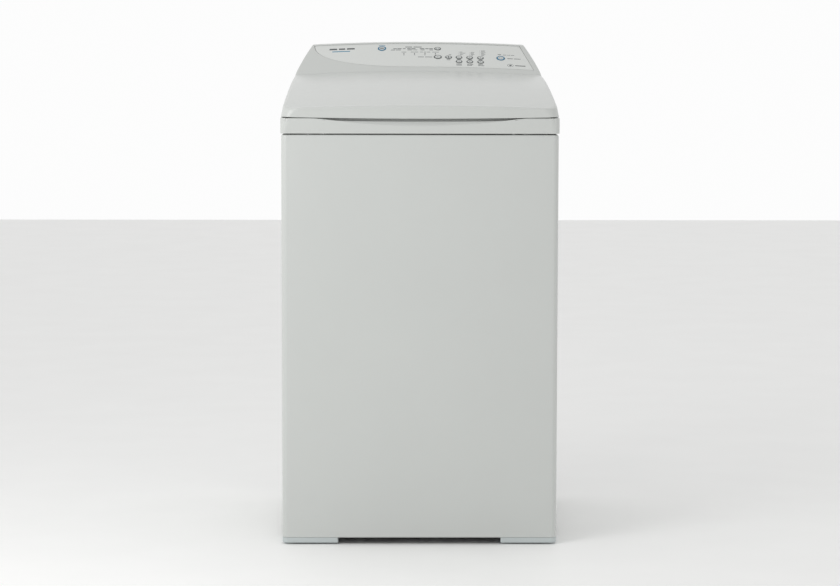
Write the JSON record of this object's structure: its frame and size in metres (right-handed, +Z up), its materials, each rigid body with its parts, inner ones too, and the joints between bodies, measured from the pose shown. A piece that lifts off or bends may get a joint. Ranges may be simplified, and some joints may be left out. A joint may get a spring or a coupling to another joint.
{
  "type": "top load washing machine",
  "caption": "Narrow top-load washing machine: lifting lid, sloping control panel, spin basket with agitator, sprung tub with direct-drive motor, drain pump and levelling feet.",
  "frame": {"origin": "on the floor, under the middle of the cabinet", "axes": "+Z up; the front of the machine faces -Y; +X is to the right of someone who faces it"},
  "size_m": [0.56, 0.56, 1.015],
  "materials": {
    "cabinet_enamel": "white enamel with a fine satin grain",
    "shell_plastic": "glossy moulded white plastic",
    "fascia_grey": "smooth pale grey plate",
    "button_grey": "smooth pale grey with a darker rim",
    "button_blue": "grey cap with a steel-blue rim",
    "foot_grey": "matt moulded grey",
    "rubber_black": "matt black rubber",
    "tub_plastic": "off-white filled polypropylene",
    "agitator_plastic": "smooth white plastic",
    "drum_steel": "perforated stainless steel",
    "zinc_steel": "zinc-plated sheet",
    "bearing_steel": "ground steel",
    "winding_copper": "enamelled copper windings on laminations",
    "module_black": "matt black plastic",
    "valve_plastic": "ivory plastic"
  },
  "bodies": {
    "cabinet": {"cabinet_wrapper": "cabinet_enamel", "rear_panel": "zinc_steel", "top_frame": "zinc_steel", "base_frame": "zinc_steel", "corner_block_front_left": "foot_grey", "corner_block_front_right": "foot_grey", "corner_block_rear_left": "foot_grey", "corner_block_rear_right": "foot_grey", "top_deck": "shell_plastic", "console_housing": "shell_plastic", "fascia_panel": "fascia_grey", "control_module": "module_black", "lid_lock": "module_black", "inlet_valve_hot": "valve_plastic", "inlet_valve_cold": "valve_plastic", "cord_gland": "module_black", "drain_spigot": "tub_plastic", "drain_hose": "rubber_black", "suspension_rod_front_left": "zinc_steel", "suspension_rod_front_right": "zinc_steel", "suspension_rod_rear_left": "zinc_steel", "suspension_rod_rear_right": "zinc_steel", "suspension_spring_front_left": "zinc_steel", "suspension_spring_front_right": "zinc_steel", "suspension_spring_rear_left": "zinc_steel", "suspension_spring_rear_right": "zinc_steel"},
    "lid": {"lid": "shell_plastic", "hinge_pin_left": "bearing_steel", "hinge_pin_right": "bearing_steel"},
    "tub": {"outer_tub": "tub_plastic", "tub_ring": "tub_plastic", "lower_bearing": "bearing_steel", "upper_bearing": "bearing_steel", "shaft_seal": "rubber_black", "stator": "winding_copper", "pump_housing": "tub_plastic"},
    "drive": {"rotor": "module_black", "drive_shaft": "bearing_steel", "agitator": "agitator_plastic"},
    "float_sleeve": {"float_bush": "bearing_steel"},
    "basket": {"basket_wall": "drum_steel", "basket_base": "tub_plastic", "balance_ring": "tub_plastic"},
    "softener_cup": {"softener_cup": "agitator_plastic"},
    "pump_impeller": {"pump_impeller": "module_black"},
    "foot_front_left": {"levelling_foot_front_left": "rubber_black"},
    "foot_front_right": {"levelling_foot_front_right": "rubber_black"},
    "foot_rear_left": {"levelling_foot_rear_left": "rubber_black"},
    "foot_rear_right": {"levelling_foot_rear_right": "rubber_black"},
    "power_button": {"power_button": "button_blue"},
    "cycle_button": {"cycle_button": "button_grey"},
    "advance_button": {"advance_button": "button_grey"},
    "option_button": {"option_button": "button_grey"},
    "water_level_up_button": {"water_level_up_button": "button_grey"},
    "water_level_down_button": {"water_level_down_button": "button_grey"},
    "spin_speed_up_button": {"spin_speed_up_button": "button_grey"},
    "spin_speed_down_button": {"spin_speed_down_button": "button_grey"},
    "temperature_up_button": {"temperature_up_button": "button_grey"},
    "temperature_down_button": {"temperature_down_button": "button_grey"},
    "start_button": {"start_button": "button_blue"}
  },
  "joints": [
    {"name": "lid_hinge", "type": "hinge", "parent": "cabinet", "child": "lid", "pos_m": [0, 0.137, 0.93051], "axis": [-1, 0, 0], "range_deg": [0, 95]},
    {"name": "tub_suspension", "type": "slide", "parent": "cabinet", "child": "tub", "axis": [0, 0, 1], "range_m": [-0.025, 0], "stiffness_N_per_m": 16000, "springref_m": 0.0125, "deforming": ["suspension_spring_front_left", "suspension_spring_front_right", "suspension_spring_rear_left", "suspension_spring_rear_right", "drain_hose"]},
    {"name": "drive_spin", "type": "hinge", "parent": "tub", "child": "drive", "pos_m": [0, 0, 0.2], "axis": [0, 0, 1], "continuous": true},
    {"name": "basket_float", "type": "slide", "parent": "drive", "child": "float_sleeve", "axis": [0, 0, 1], "range_m": [0, 0.008]},
    {"name": "basket_spin", "type": "hinge", "parent": "float_sleeve", "child": "basket", "pos_m": [0, 0, 0.3], "axis": [0, 0, 1], "continuous": true},
    {"name": "softener_cup_lift", "type": "slide", "parent": "drive", "child": "softener_cup", "axis": [0, 0, 1], "range_m": [0, 0.05]},
    {"name": "pump_spin", "type": "hinge", "parent": "tub", "child": "pump_impeller", "pos_m": [-0.13506, 0.13506, 0.155], "axis": [0, 0, 1], "continuous": true},
    {"name": "foot_screw_front_left", "type": "slide", "parent": "cabinet", "child": "foot_front_left", "axis": [0, 0, -1], "range_m": [0, 0.02]},
    {"name": "foot_screw_front_right", "type": "slide", "parent": "cabinet", "child": "foot_front_right", "axis": [0, 0, -1], "range_m": [0, 0.02]},
    {"name": "foot_screw_rear_left", "type": "slide", "parent": "cabinet", "child": "foot_rear_left", "axis": [0, 0, -1], "range_m": [0, 0.02]},
    {"name": "foot_screw_rear_right", "type": "slide", "parent": "cabinet", "child": "foot_rear_right", "axis": [0, 0, -1], "range_m": [0, 0.02]},
    {"name": "power_button_press", "type": "slide", "parent": "cabinet", "child": "power_button", "axis": [0.015, 0.5664, -0.824], "range_m": [0, 0.0012], "stiffness_N_per_m": 1500, "springref_m": -0.0005},
    {"name": "cycle_button_press", "type": "slide", "parent": "cabinet", "child": "cycle_button", "axis": [-0.008, 0.5665, -0.824], "range_m": [0, 0.0012], "stiffness_N_per_m": 1500, "springref_m": -0.0005},
    {"name": "advance_button_press", "type": "slide", "parent": "cabinet", "child": "advance_button", "axis": [-0.0081, 0.5665, -0.824], "range_m": [0, 0.0012], "stiffness_N_per_m": 1500, "springref_m": -0.0005},
    {"name": "option_button_press", "type": "slide", "parent": "cabinet", "child": "option_button", "axis": [-0.0125, 0.5665, -0.824], "range_m": [0, 0.0012], "stiffness_N_per_m": 1500, "springref_m": -0.0005},
    {"name": "water_level_up_button_press", "type": "slide", "parent": "cabinet", "child": "water_level_up_button", "axis": [-0.0168, 0.5664, -0.8239], "range_m": [0, 0.0012], "stiffness_N_per_m": 1500, "springref_m": -0.0005},
    {"name": "water_level_down_button_press", "type": "slide", "parent": "cabinet", "child": "water_level_down_button", "axis": [-0.0168, 0.5664, -0.8239], "range_m": [0, 0.0012], "stiffness_N_per_m": 1500, "springref_m": -0.0005},
    {"name": "spin_speed_up_button_press", "type": "slide", "parent": "cabinet", "child": "spin_speed_up_button", "axis": [-0.0212, 0.5664, -0.8239], "range_m": [0, 0.0012], "stiffness_N_per_m": 1500, "springref_m": -0.0005},
    {"name": "spin_speed_down_button_press", "type": "slide", "parent": "cabinet", "child": "spin_speed_down_button", "axis": [-0.0212, 0.5664, -0.8239], "range_m": [0, 0.0012], "stiffness_N_per_m": 1500, "springref_m": -0.0005},
    {"name": "temperature_up_button_press", "type": "slide", "parent": "cabinet", "child": "temperature_up_button", "axis": [-0.0257, 0.5663, -0.8238], "range_m": [0, 0.0012], "stiffness_N_per_m": 1500, "springref_m": -0.0005},
    {"name": "temperature_down_button_press", "type": "slide", "parent": "cabinet", "child": "temperature_down_button", "axis": [-0.0257, 0.5663, -0.8238], "range_m": [0, 0.0012], "stiffness_N_per_m": 1500, "springref_m": -0.0005},
    {"name": "start_button_press", "type": "slide", "parent": "cabinet", "child": "start_button", "axis": [-0.034, 0.5662, -0.8236], "range_m": [0, 0.0012], "stiffness_N_per_m": 1500, "springref_m": -0.0005}
  ]
}
